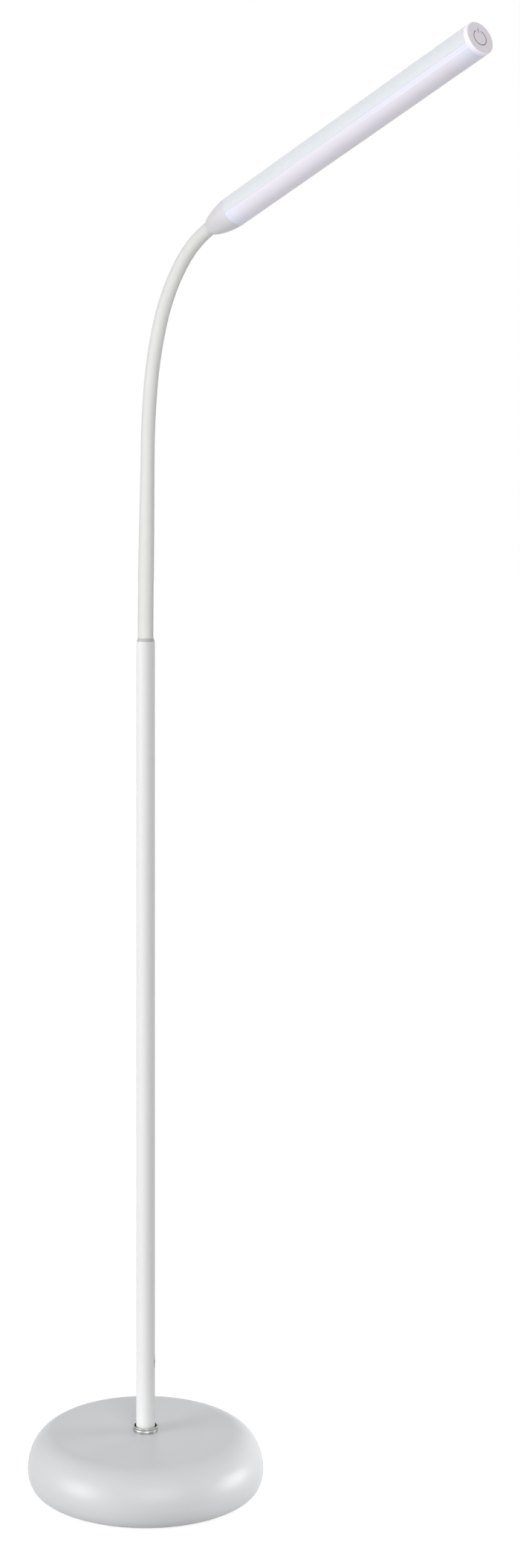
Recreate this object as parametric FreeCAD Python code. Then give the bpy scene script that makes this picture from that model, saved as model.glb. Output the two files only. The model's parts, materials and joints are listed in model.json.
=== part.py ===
import FreeCAD, Part
import math
import os

# Gooseneck reading floor lamp: a weighted round base, a straight pole, a bendable neck in
# seven lengths that hinge on each other, and a slim tubular LED head with a touch switch
# in its end face.  Millimetres, +Z up, origin on the floor at the pole's axis.

# ---------------------------------------------------------------- base
BASE_RADIUS = 118.0          # at the widest line
BASE_HEIGHT = 53.0           # flat top above the floor
SHOULDER_REACH = 28.8        # flat top's edge to the widest line
BELLY_HEIGHT = 17.7          # widest line above the floor
FOOT_TUCK = 8.0              # how far the side rounds in under the widest line
SHELL_WALL = 3.0
COLLAR_WALL = 3.7            # moulded collar round the pole
SHELL_RIBS = 6
RIB_THICKNESS = 2.0
RIB_DEPTH = 6.0
PAD_THICKNESS = 2.0          # soft anti-slip disc under the base
PAD_EDGE = 2.0               # bare edge of the plate round the disc
PLATE_THICKNESS = 2.5
PLATE_PLAY = 0.3
PLATE_SCREWS = 6
SCREW_EDGE = 5.5             # screw's axis to the plate opening's edge
SCREW_RADIUS = 1.4
SCREW_HEAD_RADIUS = 3.0
SCREW_HEAD_HEIGHT = 1.6
SCREW_LENGTH = 12.0
SCREW_BOSS_WALL = 2.1
BALLAST_PLAY = 3.0           # weight clear of the screw posts
BALLAST_THICKNESS = 16.0
BALLAST_EDGE = 2.0           # chamfer round the cast weight
BALLAST_BOSS_RADIUS = 24.0
BALLAST_BOSS_HEIGHT = 7.5
BOLT_WELL_RADIUS = 12.5      # well in the weight's underside for the bolt head
BOLT_WELL_DEPTH = 11.5
BOLT_RADIUS = 4.9
BOLT_HOLE_PLAY = 0.4
BOLT_REACH = 18.0            # thread inside the pole's foot
BOLT_HEAD_ACROSS = 17.0
BOLT_HEAD_HEIGHT = 6.4
WASHER_RADIUS = 10.0
WASHER_THICKNESS = 2.0
LOCK_WASHER_RADIUS = 8.5
LOCK_WASHER_THICKNESS = 2.2
LOCK_WASHER_SLIT = 1.2

# ---------------------------------------------------------------- pole
POLE_RADIUS = 9.5
POLE_WALL = 1.0
POLE_TOP = 844.0
POLE_RIM_ROUNDING = 0.4
PRESS_PLAY = 0.05            # each side of a pressed or threaded seat
SLIP_PLAY = 0.3              # pole in the base's collar
FOOT_LENGTH = 22.0           # threaded plug in the pole's lower end
CUP_RADIUS = 12.3            # chrome cup on the base, round the pole
CUP_HEIGHT = 5.5
CUP_WALL = 1.0
CUP_EDGE_ROUNDING = 0.4

INLET_HEIGHT = 123.0         # power inlet's axis above the floor
INLET_TURN = 9.0             # degrees from +X towards the back
INLET_TALL = 15.8
INLET_WIDE = 11.0
INLET_DEPTH = 5.0
INLET_PLAY = 0.1
JACK_SETBACK = 0.5           # jack's mouth behind the pole's surface
JACK_RADIUS = 4.0
JACK_BORE = 2.8
JACK_BORE_DEPTH = 9.5
JACK_LENGTH = 13.0
JACK_PIN_RADIUS = 1.05
JACK_PIN_SETBACK = 1.0       # pin's tip behind the jack's mouth
JACK_TAG_SIZE = 6.4          # solder-tag block on the jack's inner end

BUSH_SEAT = 24.0             # part of the top bush inside the pole
BUSH_RIM_STEP = 0.3          # bush is this much smaller than the pole's rim
BUSH_RISE = 6.0              # conical part above the pole
BUSH_TOP_LIP = 0.2           # bush is this much larger than the neck

# ---------------------------------------------------------------- neck
BEND_HEADING = -52.4         # direction in which the neck leans, from +X
LINK_LENGTH = 62.8
LINK_TURNS = (1.3, 0.0, 0.0, 6.7, 12.1, 20.8, 29.7)  # bend of each link, degrees
SLEEVE_FOOT_RADIUS = 7.9
SLEEVE_RADIUS = 6.95
TAPER_START = 75.0           # along the neck, from the bush
TAPER_END = 175.0
HOSE_RADIUS = 5.4            # wound steel hose inside the sleeve
HOSE_WALL = 2.2
SLEEVE_PLAY = 0.2            # sleeve round the hose
LEAD_RADIUS = 2.25
BALL_MARGIN = 1.1            # ball end's radius beyond the sleeve's
BALL_GAP = 0.3
FERRULE_RADIUS = 6.5
FERRULE_DEPTH = 17.0         # hose inside its ferrule
FERRULE_FLOOR = 6.0
STUD_RADIUS = 5.0
STUD_LENGTH = 8.0
NUT_ACROSS = 14.0
NUT_THICKNESS = 5.5

# ---------------------------------------------------------------- head
HEAD_LENGTH = 380.0          # from the neck to the end face
HEAD_RADIUS = 15.4
SOCKET_LENGTH = 36.0
SOCKET_NOSE_RADIUS = 9.2
SOCKET_NOSE_ROUNDING = 0.8
SOCKET_WALL = 2.2
SLEEVE_ENTRY = 6.0           # neck sleeve inside the socket
SPIGOT_LENGTH = 9.0
SPIGOT_WALL = 1.4
CASING_WALL = 1.8
DIFFUSER_WALL = 1.6
SEAM_DROP = 3.9              # casing's edges lie this far below the head's axis
RAIL_END_GAP = 1.0           # rails clear of the spigots
RAIL_REACH = 1.9
RAIL_HEIGHT = 1.7
LIP_HEIGHT = 1.3
CAP_LENGTH = 4.0
CAP_BEVEL = 1.0
CAP_FLOOR = 1.6
TOUCH_PLATE_THICKNESS = 1.2
TOUCH_PLATE_RIM = 1.4        # cap's bare rim round the touch plate
ELECTRODE_RADIUS = 9.0
ELECTRODE_THICKNESS = 0.4
ELECTRODE_STEM_RADIUS = 1.2
TOUCH_BOARD_DEPTH = 7.0      # from the cap's inner floor to the touch board's far face
BOARD_THICKNESS = 1.6
BOARD_PLAY = 0.2
SPREADER_THICKNESS = 1.5
SPREADER_PLAY = 0.6
SPREADER_END_GAP = 6.0
LED_BOARD_THICKNESS = 1.2
LED_COUNT = 28
LED_LENGTH = 3.5
LED_WIDTH = 2.8
LED_HEIGHT = 0.7
LED_MARGIN = 8.0
DRIVER_LENGTH = 72.0
DRIVER_WIDTH = 18.0
DRIVER_STANDOFF = 3.0
SPACER_RADIUS = 1.5
SPACER_INSET = 3.0
TERMINAL_LENGTH = 8.0
TERMINAL_WIDTH = 10.0
TERMINAL_HEIGHT = 6.0
TERMINAL_OVERHANG = 2.0
COIL_RADIUS = 4.5
COIL_HEIGHT = 5.0
CAPACITOR_RADIUS = 3.2
CAPACITOR_HEIGHT = 8.0
CHIP_SIZE = 5.0
CHIP_HEIGHT = 1.6
TOUCH_LEAD_RADIUS = 0.8
TOUCH_LEAD_SPACING = 4.0

# ---------------------------------------------------------------- worked out from these
PLATE_TOP = PAD_THICKNESS + PLATE_THICKNESS
PLATE_RADIUS = BASE_RADIUS - FOOT_TUCK - SHELL_WALL
SCREW_RING = PLATE_RADIUS - SCREW_EDGE
POST_RADIUS = SCREW_RADIUS + SCREW_BOSS_WALL
BALLAST_RADIUS = SCREW_RING - POST_RADIUS - BALLAST_PLAY
BALLAST_TOP = PLATE_TOP + BALLAST_THICKNESS
POLE_FOOT = BALLAST_TOP + BALLAST_BOSS_HEIGHT
POLE_BORE = POLE_RADIUS - POLE_WALL
WELL_CEILING = PLATE_TOP + BOLT_WELL_DEPTH
NECK_START = POLE_TOP + BUSH_RISE
HOSE_BORE = HOSE_RADIUS - HOSE_WALL
CASING_BORE = HEAD_RADIUS - CASING_WALL
SPIGOT_RADIUS = min(CASING_BORE, HEAD_RADIUS - DIFFUSER_WALL) - PRESS_PLAY
SPIGOT_BORE = SPIGOT_RADIUS - SPIGOT_WALL
CAP_START = HEAD_LENGTH - CAP_LENGTH
CAP_FLOOR_START = HEAD_LENGTH - TOUCH_PLATE_THICKNESS - CAP_FLOOR
RAIL_START = SOCKET_LENGTH + SPIGOT_LENGTH + RAIL_END_GAP
RAIL_END = CAP_START - SPIGOT_LENGTH - RAIL_END_GAP
RAIL_INNER = CASING_BORE - RAIL_REACH
RAIL_TOP = RAIL_HEIGHT - SEAM_DROP
SPREADER_START = RAIL_START + SPREADER_END_GAP
SPREADER_END = RAIL_END - SPREADER_PLAY
SPREADER_TOP = RAIL_TOP + SPREADER_THICKNESS
TERMINAL_START = SPREADER_START - TERMINAL_OVERHANG
DRIVER_START = TERMINAL_START + TERMINAL_LENGTH
DRIVER_BOTTOM = SPREADER_TOP + DRIVER_STANDOFF
DRIVER_TOP = DRIVER_BOTTOM + BOARD_THICKNESS

V = FreeCAD.Vector
X_AXIS = V(1, 0, 0)
Z_AXIS = V(0, 0, 1)

HEADING = math.radians(BEND_HEADING)
LEAN_WAY = V(math.cos(HEADING), math.sin(HEADING), 0)
BEND_AXIS = Z_AXIS.cross(LEAN_WAY)


# ---------------------------------------------------------------- shape helpers
def rod(radius, low, high):
    """Round bar along Z."""
    return Part.makeCylinder(radius, high - low, V(0, 0, low))


def ring(radius, bore, low, high):
    """Round tube along Z."""
    return rod(radius, low, high).cut(rod(bore, low, high))


def head_rod(radius, start, end, side=0.0, height=0.0):
    """Round bar along the head's axis, which is X until the head is placed."""
    return Part.makeCylinder(radius, end - start, V(start, side, height), X_AXIS)


def head_ring(radius, bore, start, end):
    """Round tube along the head's axis."""
    return head_rod(radius, start, end).cut(head_rod(bore, start, end))


def block(start, end, width, low, high, middle=0.0):
    """Box along X, centred on `middle` across."""
    return Part.makeBox(end - start, width, high - low, V(start, middle - width / 2, low))


def hexagon(across, low, high):
    """Six-sided bar along Z, sized across its flats."""
    corner = across / math.sqrt(3)
    points = [V(corner * math.cos(math.radians(60 * i)), corner * math.sin(math.radians(60 * i)), low)
              for i in range(7)]
    return Part.Face(Part.makePolygon(points)).extrude(V(0, 0, high - low))


def line(start, end):
    """Straight profile edge between two (radius, height) points."""
    return Part.LineSegment(V(start[0], 0, start[1]), V(end[0], 0, end[1])).toShape()


def quarter_oval(centre, reach, rise):
    """Quarter ellipse from straight above or below its centre to straight out beside it."""
    middle = V(centre[0], 0, centre[1])
    peak = middle + V(0, 0, rise)
    side = middle + V(reach, 0, 0)
    long_first = (peak, side) if abs(rise) >= abs(reach) else (side, peak)
    return Part.ArcOfEllipse(Part.Ellipse(*long_first, middle), 0, math.pi / 2).toShape()


def turned(edges):
    """Solid of revolution about Z from a closed chain of profile edges."""
    wire = Part.Wire(Part.__sortEdges__(edges))
    return Part.Face(wire).revolve(V(0, 0, 0), Z_AXIS, 360)


def turned_outline(points):
    """Solid of revolution about Z from (radius, height) corners."""
    corners = [V(radius, 0, height) for radius, height in points]
    return Part.Face(Part.makePolygon(corners + corners[:1])).revolve(V(0, 0, 0), Z_AXIS, 360)


def rounded_rims(shape, size, height):
    """Round every circular edge that lies level at the given height."""
    rims = [edge for edge in shape.Edges
            if abs(edge.BoundBox.ZMin - height) < 1e-4 and abs(edge.BoundBox.ZMax - height) < 1e-4]
    return shape.makeFillet(size, rims)


def around(shape, count, radius, first=0.0):
    """Copies of a shape spaced evenly on a circle about Z."""
    copies = []
    for index in range(count):
        copy = shape.copy()
        copy.translate(V(radius, 0, 0))
        copy.rotate(V(0, 0, 0), Z_AXIS, first + 360.0 * index / count)
        copies.append(copy)
    return copies


def save(name, shape):
    """Write one sub-part, as a single solid or a group of separate ones."""
    shape.exportStep("parts/%s.step" % name)


# ---------------------------------------------------------------- base
def shell_outline(wall):
    """Edges of the base's outer form, or of its cavity when `wall` is taken off all round."""
    shoulder = (BASE_RADIUS - SHOULDER_REACH, BELLY_HEIGHT)
    foot = (BASE_RADIUS - FOOT_TUCK - wall, BELLY_HEIGHT)
    foot_height = PAD_THICKNESS + (PLATE_THICKNESS if wall else 0.0)
    top = BASE_HEIGHT - wall
    shoulder_arc = quarter_oval(shoulder, SHOULDER_REACH - wall, top - BELLY_HEIGHT)
    foot_arc = quarter_oval(foot, FOOT_TUCK, foot_height - BELLY_HEIGHT)
    return [line((0, top), (shoulder[0], top)), shoulder_arc, foot_arc,
            line((foot[0], foot_height), (0, foot_height)), line((0, foot_height), (0, top))]


def screw_places():
    """Angle of the first plate screw, so that screws fall between the ribs."""
    return 180.0 / PLATE_SCREWS


def base_shell():
    """Moulded cover with a collar for the pole, screw posts and stiffening ribs inside."""
    form = turned(shell_outline(0.0))
    hole = POLE_RADIUS + SLIP_PLAY
    collar = rod(hole + COLLAR_WALL, POLE_FOOT, BASE_HEIGHT)
    post = rod(POST_RADIUS, PLATE_TOP, BASE_HEIGHT)
    rib = block(0, BASE_RADIUS - SHOULDER_REACH, RIB_THICKNESS,
                BASE_HEIGHT - SHELL_WALL - RIB_DEPTH, BASE_HEIGHT)
    inside = [collar] + around(post, PLATE_SCREWS, SCREW_RING, screw_places())
    inside += around(rib, SHELL_RIBS, 0.0)
    shell = form.cut(turned(shell_outline(SHELL_WALL)))
    shell = shell.cut(rod(PLATE_RADIUS, PAD_THICKNESS, PLATE_TOP))
    shell = shell.fuse([piece.common(form) for piece in inside])
    shell = shell.cut(rod(hole, 0, BASE_HEIGHT))
    pilot = rod(SCREW_RADIUS + PRESS_PLAY, 0, PAD_THICKNESS + SCREW_LENGTH)
    return shell.cut(around(pilot, PLATE_SCREWS, SCREW_RING, screw_places())).removeSplitter()


def countersunk_screw(play=0.0):
    """Countersunk screw pointing up, its head flush with the plate's underside."""
    neck = SCREW_RADIUS + play
    head = SCREW_HEAD_RADIUS + play
    low = PAD_THICKNESS
    return turned_outline([(0, low), (head, low), (neck, low + SCREW_HEAD_HEIGHT),
                           (neck, low + SCREW_LENGTH), (0, low + SCREW_LENGTH)])


def base_plate():
    """Steel disc that closes the base."""
    plate = rod(PLATE_RADIUS - PLATE_PLAY, PAD_THICKNESS, PLATE_TOP)
    holes = around(countersunk_screw(PRESS_PLAY), PLATE_SCREWS, SCREW_RING, screw_places())
    return plate.cut(holes + [rod(BOLT_WELL_RADIUS, 0, PLATE_TOP)])


def ballast():
    """Cast weight with a raised seat for the pole and a well for the bolt head."""
    edge = BALLAST_RADIUS - BALLAST_EDGE
    body = turned_outline([
        (0, PLATE_TOP), (edge, PLATE_TOP), (BALLAST_RADIUS, PLATE_TOP + BALLAST_EDGE),
        (BALLAST_RADIUS, BALLAST_TOP - BALLAST_EDGE), (edge, BALLAST_TOP),
        (BALLAST_BOSS_RADIUS + BALLAST_EDGE, BALLAST_TOP), (BALLAST_BOSS_RADIUS, POLE_FOOT),
        (0, POLE_FOOT)])
    return body.cut([rod(BOLT_WELL_RADIUS, PLATE_TOP, WELL_CEILING),
                     rod(BOLT_RADIUS + BOLT_HOLE_PLAY, PLATE_TOP, POLE_FOOT)])


def pole_bolt():
    """Hexagon bolt that draws the pole's foot down on the weight."""
    head_top = WELL_CEILING - WASHER_THICKNESS - LOCK_WASHER_THICKNESS
    shank = rod(BOLT_RADIUS, head_top, POLE_FOOT + BOLT_REACH)
    return shank.fuse(hexagon(BOLT_HEAD_ACROSS, head_top - BOLT_HEAD_HEIGHT, head_top))


def bolt_washer():
    """Flat washer against the weight."""
    return ring(WASHER_RADIUS, BOLT_RADIUS + BOLT_HOLE_PLAY, WELL_CEILING - WASHER_THICKNESS, WELL_CEILING)


def bolt_lock_washer():
    """Split spring washer between the bolt head and the flat washer."""
    high = WELL_CEILING - WASHER_THICKNESS
    low = high - LOCK_WASHER_THICKNESS
    slit = block(0, LOCK_WASHER_RADIUS + 1.0, LOCK_WASHER_SLIT, low, high)
    return ring(LOCK_WASHER_RADIUS, BOLT_RADIUS + BOLT_HOLE_PLAY, low, high).cut(slit)


def pole_cup():
    """Pressed chrome cup round the pole, standing on the base."""
    high = BASE_HEIGHT + CUP_HEIGHT
    cup = ring(CUP_RADIUS, POLE_RADIUS + PRESS_PLAY, BASE_HEIGHT, high)
    cup = cup.cut(rod(CUP_RADIUS - CUP_WALL, BASE_HEIGHT + CUP_WALL, high))
    return rounded_rims(cup, CUP_EDGE_ROUNDING, high)


# ---------------------------------------------------------------- pole
def inlet_turned(shape):
    """Turn a piece of the inlet from X to its place round the pole, at its height."""
    shape = shape.copy()
    shape.translate(V(0, 0, INLET_HEIGHT))
    shape.rotate(V(0, 0, 0), Z_AXIS, INLET_TURN)
    return shape


def inlet_oval(play):
    """Upright oval bar along X through the pole's wall."""
    radius = INLET_WIDE / 2 + play
    rise = INLET_TALL / 2 - INLET_WIDE / 2
    start = POLE_RADIUS - INLET_DEPTH
    end = POLE_RADIUS + 1.0
    ends = [head_rod(radius, start, end, 0.0, rise), head_rod(radius, start, end, 0.0, -rise)]
    return block(start, end, 2 * radius, -rise, rise).fuse(ends).removeSplitter()


def pole_tube():
    """Straight steel tube from the weight to the neck's bush."""
    tube = rounded_rims(rod(POLE_RADIUS, POLE_FOOT, POLE_TOP), POLE_RIM_ROUNDING, POLE_TOP)
    tube = tube.cut(rod(POLE_BORE, POLE_FOOT, POLE_TOP))
    return tube.cut(inlet_turned(inlet_oval(INLET_PLAY)))


def inlet_bezel():
    """Moulded oval surround, its outer face curved flush with the pole."""
    flush = Part.makeCylinder(POLE_RADIUS, 4 * INLET_TALL, V(0, 0, -2 * INLET_TALL))
    bezel = inlet_oval(0.0).common(flush)
    return inlet_turned(bezel.cut(head_rod(JACK_RADIUS + PRESS_PLAY, 0, POLE_RADIUS + 1.0)))


def inlet_jack():
    """Barrel jack: round body with a blind bore, and a block of solder tags behind."""
    mouth = POLE_RADIUS - JACK_SETBACK
    back = mouth - JACK_LENGTH
    body = head_rod(JACK_RADIUS, back, mouth).cut(head_rod(JACK_BORE, mouth - JACK_BORE_DEPTH, mouth))
    tags = block(back, back + JACK_TAG_SIZE, JACK_TAG_SIZE, -JACK_TAG_SIZE / 2, JACK_TAG_SIZE)
    keep_bore = head_rod(JACK_BORE, mouth - JACK_BORE_DEPTH, mouth)
    return inlet_turned(body.fuse(tags).cut(keep_bore).removeSplitter())


def inlet_pin():
    """Centre contact of the jack."""
    mouth = POLE_RADIUS - JACK_SETBACK
    return inlet_turned(head_rod(JACK_PIN_RADIUS, mouth - JACK_BORE_DEPTH,
                                 mouth - JACK_PIN_SETBACK))


def pole_foot():
    """Threaded plug pressed into the pole's lower end."""
    return ring(POLE_BORE - PRESS_PLAY, BOLT_RADIUS + PRESS_PLAY, POLE_FOOT, POLE_FOOT + FOOT_LENGTH)


def pole_lead():
    """Twin lead from the inlet's tags up to the neck."""
    return rod(LEAD_RADIUS, INLET_HEIGHT + JACK_TAG_SIZE, NECK_START)


def pole_bush():
    """Grey conical bush between the pole and the neck, bored for the neck's ferrule."""
    seat = POLE_BORE - PRESS_PLAY
    bore = FERRULE_RADIUS + PRESS_PLAY
    low = POLE_TOP - BUSH_SEAT
    return turned_outline([
        (bore, low), (seat, low), (seat, POLE_TOP), (POLE_RADIUS - BUSH_RIM_STEP, POLE_TOP),
        (SLEEVE_FOOT_RADIUS + BUSH_TOP_LIP, NECK_START), (bore, NECK_START)])


def ferrule(mouth):
    """Steel ferrule on Z: cup for the hose with its mouth up, and a threaded stud below."""
    floor_top = mouth - FERRULE_DEPTH
    floor = floor_top - FERRULE_FLOOR
    body = rod(FERRULE_RADIUS, floor, mouth).fuse(rod(STUD_RADIUS, floor - STUD_LENGTH, floor))
    return body.cut([rod(HOSE_RADIUS + PRESS_PLAY, floor_top, mouth),
                     rod(HOSE_BORE, floor - STUD_LENGTH, mouth)])


def ferrule_nut(high):
    """Thin hexagon nut on the ferrule's stud, its upper face at `high`."""
    nut = hexagon(NUT_ACROSS, high - NUT_THICKNESS, high)
    return nut.cut(rod(STUD_RADIUS + PRESS_PLAY, high - NUT_THICKNESS, high))


# ---------------------------------------------------------------- neck
def neck_stations():
    """Place and lean, in the plane of the bend, of the start of each link and of the neck's end."""
    reach = 0.0
    height = NECK_START
    lean = 0.0
    stations = [(reach, height, lean)]
    for turn in LINK_TURNS:
        half = math.radians(turn) / 2
        chord = LINK_LENGTH * (math.sin(half) / half if half else 1.0)
        reach += chord * math.sin(lean + half)
        height += chord * math.cos(lean + half)
        lean += 2 * half
        stations.append((reach, height, lean))
    return stations


STATIONS = neck_stations()


def station_point(station):
    return LEAN_WAY * station[0] + Z_AXIS * station[1]


def station_way(station):
    return LEAN_WAY * math.sin(station[2]) + Z_AXIS * math.cos(station[2])


def aimed(shape, station):
    """Put a round piece built on Z at a station, pointing along the neck."""
    shape = shape.copy()
    turn = FreeCAD.Rotation(Z_AXIS, station_way(station))
    shape.Placement = FreeCAD.Placement(station_point(station), turn)
    return shape


def sleeve_radius(distance):
    """Outer radius of the sleeve at a distance along the neck."""
    share = (distance - TAPER_START) / (TAPER_END - TAPER_START)
    share = min(max(share, 0.0), 1.0)
    return SLEEVE_FOOT_RADIUS + (SLEEVE_RADIUS - SLEEVE_FOOT_RADIUS) * share


def ball_radius(index):
    """Radius of the ball end between link `index` and the next."""
    return sleeve_radius(LINK_LENGTH * (index + 1)) + BALL_MARGIN


def link_bar(index, radius):
    """Solid bar along one link; `radius` is a number or a function of the distance."""
    station = STATIONS[index]
    turn = LINK_TURNS[index]
    begin = LINK_LENGTH * index
    size = radius if callable(radius) else (lambda distance: radius)
    if turn:
        middle_line = station_point(station)
        disc = Part.Face(Part.Wire(Part.Circle(middle_line, station_way(station), size(begin)).toShape()))
        inward = LEAN_WAY * math.cos(station[2]) - Z_AXIS * math.sin(station[2])
        centre = middle_line + inward * (LINK_LENGTH / math.radians(turn))
        return disc.revolve(centre, BEND_AXIS, turn)
    steps = [begin] + [d for d in (TAPER_START, TAPER_END) if begin < d < begin + LINK_LENGTH]
    steps.append(begin + LINK_LENGTH)
    outline = [(0, 0)] + [(size(d), d - begin) for d in steps] + [(0, LINK_LENGTH)]
    return aimed(turned_outline(outline), station)


def link_piece(index, radius, bore, foot=0.0, tail=0.0):
    """One layer of one link: ball end above, ball seat below, and any straight ends beyond the neck."""
    end_size = radius(LINK_LENGTH * (index + 1)) if callable(radius) else radius
    outer = [link_bar(index, radius)]
    inner = [link_bar(index, bore)] if bore else []
    if index < len(LINK_TURNS) - 1:
        ball = Part.makeSphere(ball_radius(index))
        reach = ball_radius(index) + 1.0
        outer.append(aimed(rod(end_size, 0, reach).common(ball), STATIONS[index + 1]))
        inner += [aimed(rod(bore, 0, reach), STATIONS[index + 1])] if bore else []
    if tail:
        outer.append(aimed(rod(end_size, 0, tail), STATIONS[-1]))
        inner += [aimed(rod(bore, 0, tail), STATIONS[-1])] if bore else []
    if foot:
        outer.append(rod(end_size, NECK_START - foot, NECK_START))
        inner += [rod(bore, NECK_START - foot, NECK_START)] if bore else []
    piece = outer[0].fuse(outer[1:]) if outer[1:] else outer[0]
    if inner:
        piece = piece.cut(inner)
    if index:
        seat = Part.makeSphere(ball_radius(index - 1) + BALL_GAP, station_point(STATIONS[index]))
        piece = piece.cut(seat)
    return piece.removeSplitter()


def neck_sleeve(index):
    """Soft outer sleeve of one link; the first stands on the bush, the last enters the socket."""
    last = index == len(LINK_TURNS) - 1
    return link_piece(index, sleeve_radius, HOSE_RADIUS + SLEEVE_PLAY, 0.0, SLEEVE_ENTRY if last else 0.0)


def neck_hose(index):
    """Steel hose of one link; the first and last run into their ferrules."""
    last = index == len(LINK_TURNS) - 1
    foot = 0.0 if index else FERRULE_DEPTH
    return link_piece(index, HOSE_RADIUS, HOSE_BORE, foot, SLEEVE_ENTRY + FERRULE_DEPTH if last else 0.0)


def neck_lead(index):
    """Twin lead of one link; the last runs on to the driver's terminals."""
    last = index == len(LINK_TURNS) - 1
    return link_piece(index, LEAD_RADIUS, 0.0, 0.0, TERMINAL_START if last else 0.0)


# ---------------------------------------------------------------- head
def head_placement():
    """Carry the head's own axes, X along it and Z up, to the end of the neck."""
    along = station_way(STATIONS[-1])
    across = Z_AXIS.cross(along).normalize()
    upward = along.cross(across)
    matrix = FreeCAD.Matrix(along.x, across.x, upward.x, 0, along.y, across.y, upward.y, 0,
                            along.z, across.z, upward.z, 0, 0, 0, 0, 1)
    return FreeCAD.Placement(station_point(STATIONS[-1]), FreeCAD.Rotation(matrix))


HEAD_PLACEMENT = head_placement()
ALONG_X = FreeCAD.Placement(V(0, 0, 0), FreeCAD.Rotation(V(0, 1, 0), 90))


def in_head(shape):
    """Place a piece that was built along X from the neck's end."""
    shape = shape.copy()
    shape.Placement = HEAD_PLACEMENT.multiply(shape.Placement)
    return shape


def laid_along(shape):
    """Lay a piece that was turned on Z along X."""
    shape = shape.copy()
    shape.Placement = ALONG_X.multiply(shape.Placement)
    return shape


def head_socket():
    """Swelling socket between the neck and the head, with a spigot inside the casing."""
    ferrule_end = SLEEVE_ENTRY + FERRULE_DEPTH + FERRULE_FLOOR
    drop = HEAD_RADIUS - SOCKET_NOSE_RADIUS
    swell = (SOCKET_LENGTH ** 2 + drop ** 2) / (2 * drop)
    half_turn = math.asin(SOCKET_LENGTH / swell) / 2
    middle = V(HEAD_RADIUS - swell * (1 - math.cos(half_turn)), 0,
               SOCKET_LENGTH - swell * math.sin(half_turn))
    nose = V(SOCKET_NOSE_RADIUS, 0, 0)
    shoulder = V(HEAD_RADIUS, 0, SOCKET_LENGTH)
    outline = [line((0, 0), (SOCKET_NOSE_RADIUS, 0)), Part.Arc(nose, middle, shoulder).toShape(),
               line((HEAD_RADIUS, SOCKET_LENGTH), (0, SOCKET_LENGTH)), line((0, SOCKET_LENGTH), (0, 0))]
    body = rounded_rims(turned(outline), SOCKET_NOSE_ROUNDING, 0.0)
    end = SOCKET_LENGTH + SPIGOT_LENGTH
    body = body.fuse(rod(SPIGOT_RADIUS, SOCKET_LENGTH, end))
    cavity = turned_outline([
        (0, ferrule_end), (SPIGOT_BORE - SOCKET_WALL, ferrule_end), (SPIGOT_BORE, SOCKET_LENGTH),
        (SPIGOT_BORE, end), (0, end)])
    body = body.cut([rod(SLEEVE_RADIUS + PRESS_PLAY, 0, SLEEVE_ENTRY), cavity,
                     rod(FERRULE_RADIUS + PRESS_PLAY, 0, ferrule_end)])
    return laid_along(body)


def upper_ferrule():
    """The lower ferrule's twin, mouth towards the neck."""
    piece = ferrule(0.0)
    piece.Placement = FreeCAD.Placement(V(SLEEVE_ENTRY, 0, 0), FreeCAD.Rotation(V(0, 1, 0), -90))
    return piece


def upper_nut():
    """Nut that clamps the upper ferrule in the socket."""
    face = SLEEVE_ENTRY + FERRULE_DEPTH + FERRULE_FLOOR
    piece = ferrule_nut(0.0)
    piece.Placement = FreeCAD.Placement(V(face, 0, 0), FreeCAD.Rotation(V(0, 1, 0), -90))
    return piece


def long_edges(low, high):
    """The pair of square bars just inside the head's wall, between two heights."""
    reach = HEAD_RADIUS - RAIL_INNER
    middle = RAIL_INNER + reach / 2
    bars = [block(RAIL_START, RAIL_END, reach, low, high, side * middle) for side in (-1, 1)]
    within = head_rod(HEAD_RADIUS - min(CASING_WALL, DIFFUSER_WALL) / 2, RAIL_START, RAIL_END)
    return [bar.common(within) for bar in bars]


def head_casing():
    """Upper shell of the head, with a rail along each edge for the heat spreader."""
    above = block(SOCKET_LENGTH, CAP_START, 2 * HEAD_RADIUS, -SEAM_DROP, HEAD_RADIUS)
    shell = head_ring(HEAD_RADIUS, CASING_BORE, SOCKET_LENGTH, CAP_START).common(above)
    return shell.fuse(long_edges(-SEAM_DROP, RAIL_TOP)).removeSplitter()


def head_diffuser():
    """Opal lower shell, with a lip along each edge that clips under the casing's rails."""
    below = block(SOCKET_LENGTH, CAP_START, 2 * HEAD_RADIUS, -HEAD_RADIUS, -SEAM_DROP)
    shell = head_ring(HEAD_RADIUS, HEAD_RADIUS - DIFFUSER_WALL, SOCKET_LENGTH, CAP_START).common(below)
    return shell.fuse(long_edges(-SEAM_DROP - LIP_HEIGHT, -SEAM_DROP)).removeSplitter()


def end_cap():
    """Bevelled end cap with a spigot inside the casing and a recess for the touch plate."""
    start = CAP_START - SPIGOT_LENGTH
    recess = HEAD_RADIUS - TOUCH_PLATE_RIM
    plate_start = HEAD_LENGTH - TOUCH_PLATE_THICKNESS
    return laid_along(turned_outline([
        (SPIGOT_BORE, start), (SPIGOT_RADIUS, start), (SPIGOT_RADIUS, CAP_START),
        (HEAD_RADIUS, CAP_START), (HEAD_RADIUS, HEAD_LENGTH - CAP_BEVEL),
        (HEAD_RADIUS - CAP_BEVEL, HEAD_LENGTH), (recess, HEAD_LENGTH), (recess, plate_start),
        (0, plate_start), (0, CAP_FLOOR_START), (SPIGOT_BORE, CAP_FLOOR_START)]))


def touch_plate():
    """Flat face of the touch switch, flush in the end cap."""
    radius = HEAD_RADIUS - TOUCH_PLATE_RIM - PRESS_PLAY
    return head_rod(radius, HEAD_LENGTH - TOUCH_PLATE_THICKNESS, HEAD_LENGTH)


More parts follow.
